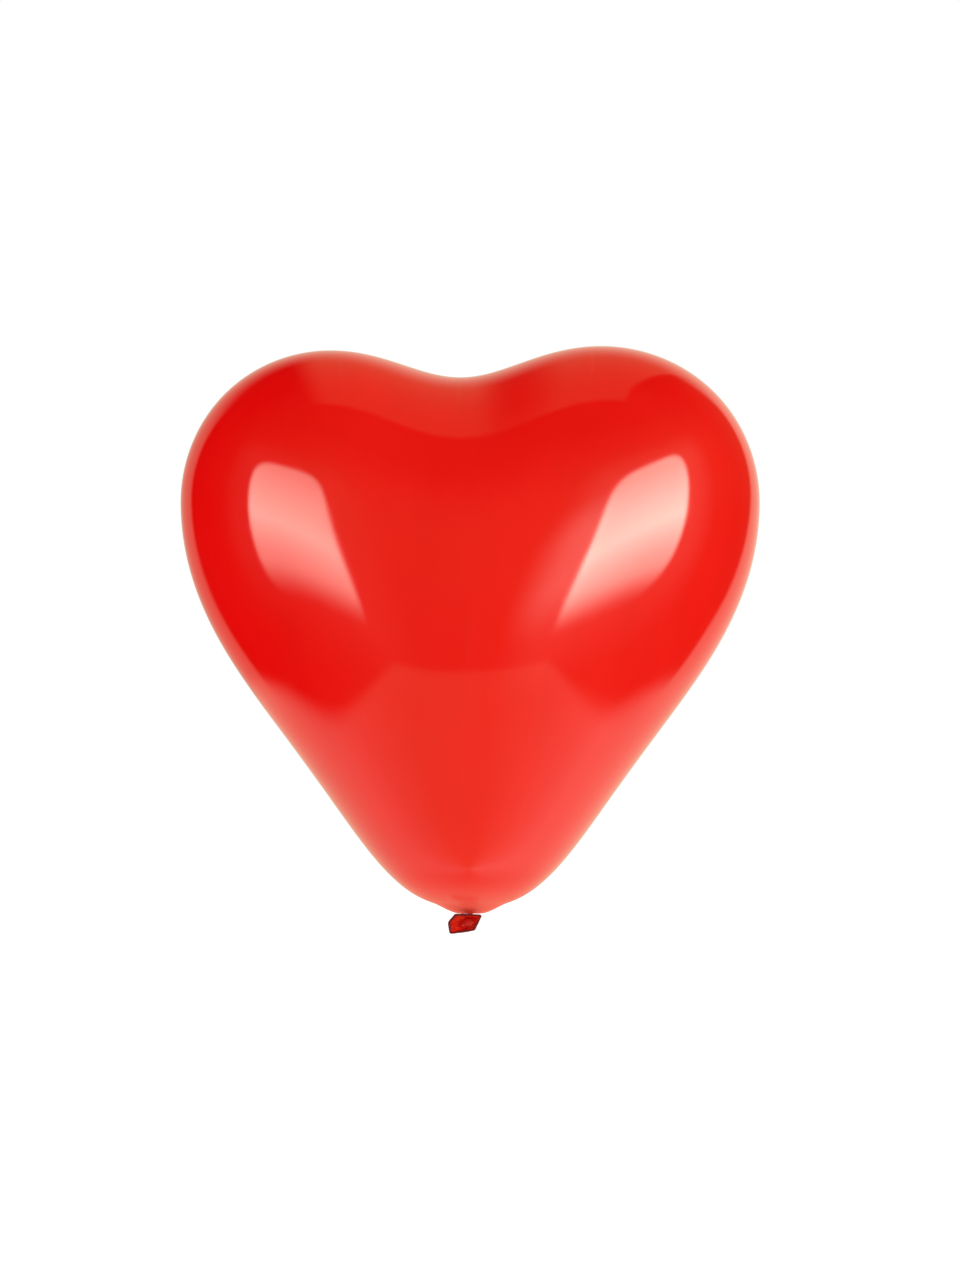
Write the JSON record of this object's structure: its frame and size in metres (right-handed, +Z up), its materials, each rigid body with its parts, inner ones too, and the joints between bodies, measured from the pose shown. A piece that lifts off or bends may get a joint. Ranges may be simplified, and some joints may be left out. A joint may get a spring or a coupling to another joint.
{
  "type": "heart-shaped latex balloon",
  "caption": "Inflated heart-shaped glossy red latex party balloon with a pleated neck, an overhand knot and a short flared tail with a rolled bead, all flexing at the neck.",
  "frame": {"origin": "the tie, at the very bottom of the heart where the neck is gathered, on the neck's own axis", "axes": "+Z up the neck through the cleft, X across the width of the heart, -Y towards the front, where the tail points"},
  "size_m": [0.3, 0.1808, 0.3036],
  "materials": {
    "blown_skin": "glossy stretched latex",
    "gathered_latex": "satin bunched latex",
    "neck_latex": "glossy unstretched latex",
    "bead_latex": "glossy thick latex"
  },
  "bodies": {
    "balloon": {"envelope": "blown_skin"},
    "gather": {"neck_gather": "gathered_latex"},
    "strand": {"neck_strand": "gathered_latex"},
    "knot": {"knot_loop": "gathered_latex", "knot_core": "gathered_latex"},
    "tail": {"tail_sleeve": "neck_latex", "rolled_bead": "bead_latex"}
  },
  "joints": [
    {"name": "neck_sway", "type": "hinge", "parent": "balloon", "child": "gather", "pos_m": [0, 0, 0.0023], "axis": [0, 1, 0], "range_deg": [-6, 6], "stiffness_Nm_per_rad": 0.0001},
    {"name": "neck_twist", "type": "hinge", "parent": "gather", "child": "strand", "pos_m": [0, 0, 0], "axis": [0, 0, 1], "range_deg": [-90, 90], "stiffness_Nm_per_rad": 0.00003},
    {"name": "knot_nod", "type": "hinge", "parent": "strand", "child": "knot", "pos_m": [0, 0, -0.0032], "axis": [1, 0, 0], "range_deg": [-1, 30], "stiffness_Nm_per_rad": 0.00006},
    {"name": "tail_flap", "type": "hinge", "parent": "knot", "child": "tail", "pos_m": [0, -0.0052, -0.006], "axis": [1, 0, 0], "range_deg": [-2, 75], "stiffness_Nm_per_rad": 0.00004}
  ]
}
